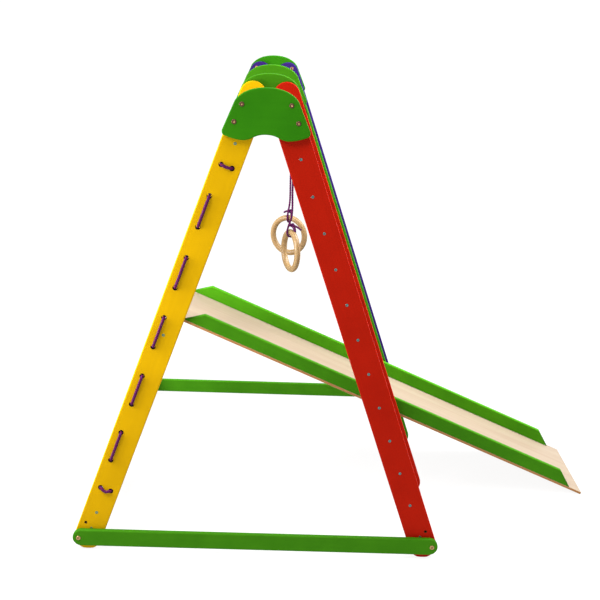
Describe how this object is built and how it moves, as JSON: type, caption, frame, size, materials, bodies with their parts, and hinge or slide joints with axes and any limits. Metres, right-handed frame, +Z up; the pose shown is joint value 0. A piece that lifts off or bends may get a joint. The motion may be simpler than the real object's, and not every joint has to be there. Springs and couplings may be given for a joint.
{
  "type": "indoor climbing frame with slide",
  "caption": "Wooden indoor climbing frame for toddlers: a row of leaning A-frames with a rung ladder and laced rope side, a lift-off plywood slide with rails, and hanging gymnastic rings.",
  "frame": {"origin": "centre of the bounding box, on the floor", "axes": "+X towards the foot of the slide, +Y along the row of A-frames from the laced unit to the other, +Z up"},
  "size_m": [1.8072, 1.4786, 1.518],
  "materials": {
    "yellow_paint": "satin paint",
    "red_paint": "satin paint",
    "green_paint": "satin paint",
    "purple_paint": "satin paint",
    "clear_birch": "clear varnish",
    "birch_plywood": "clear varnish",
    "ring_wood": "clear varnish",
    "purple_rope": "braided synthetic rope"
  },
  "bodies": {
    "climbing_frame": {"frame_1_leg_left": "yellow_paint", "frame_1_leg_right": "red_paint", "frame_1_gusset": "green_paint", "frame_2_leg_left": "yellow_paint", "frame_2_leg_right": "red_paint", "frame_2_gusset": "green_paint", "frame_3_leg_left": "green_paint", "frame_3_leg_right": "green_paint", "frame_3_gusset": "green_paint", "frame_4_leg_left": "purple_paint", "frame_4_leg_right": "purple_paint", "frame_4_gusset": "green_paint", "base_beam_near": "green_paint", "base_beam_far": "green_paint", "unit_a_rung_01": "clear_birch", "unit_a_rung_02": "clear_birch", "unit_a_rung_03": "clear_birch", "unit_a_rung_04": "clear_birch", "unit_a_rung_05": "clear_birch", "unit_a_rung_06": "clear_birch", "unit_a_rung_07": "clear_birch", "unit_a_rung_08": "clear_birch", "unit_a_rung_09": "clear_birch", "unit_a_rung_10": "clear_birch", "unit_a_rung_11": "clear_birch", "unit_a_rung_12": "clear_birch", "unit_a_crossbar_top": "clear_birch", "unit_a_crossbar_middle": "clear_birch", "unit_a_brace_low": "clear_birch", "unit_b_rung_01": "clear_birch", "unit_b_rung_02": "clear_birch", "unit_b_rung_03": "clear_birch", "unit_b_rung_04": "clear_birch", "unit_b_rung_05": "clear_birch", "unit_b_rung_06": "clear_birch", "unit_b_rung_07": "clear_birch", "unit_b_rung_08": "clear_birch", "unit_b_rung_09": "clear_birch", "unit_b_rung_10": "clear_birch", "unit_b_rung_11": "clear_birch", "unit_b_rung_12": "clear_birch", "unit_b_crossbar_top": "clear_birch", "unit_b_crossbar_middle": "clear_birch", "unit_b_brace_low": "clear_birch", "bay_bar_left_top": "clear_birch", "bay_bar_left_low": "clear_birch", "slide_hanger_bar": "clear_birch", "slide_support_bar": "clear_birch", "ring_bar": "clear_birch", "lacing_rope": "purple_rope"},
    "slide": {"slide_bed": "birch_plywood", "slide_rail_near": "green_paint", "slide_rail_far": "green_paint", "slide_hook_near": "clear_birch", "slide_hook_far": "clear_birch"},
    "ring_near": {"ring_near": "ring_wood", "ring_cord_near": "purple_rope"},
    "ring_far": {"ring_far": "ring_wood", "ring_cord_far": "purple_rope"}
  },
  "joints": [
    {"name": "slide_lift", "type": "hinge", "parent": "climbing_frame", "child": "slide", "pos_m": [-0.64652, 0, 0.63018], "axis": [0, -1, 0], "range_deg": [0, 25]},
    {"name": "ring_near_swing", "type": "hinge", "parent": "climbing_frame", "child": "ring_near", "pos_m": [-0.21655, -0.128, 1.346], "axis": [0, 1, 0], "range_deg": [-60, 60]},
    {"name": "ring_far_swing", "type": "hinge", "parent": "climbing_frame", "child": "ring_far", "pos_m": [-0.21655, 0.128, 1.346], "axis": [0, 1, 0], "range_deg": [-60, 60]}
  ]
}
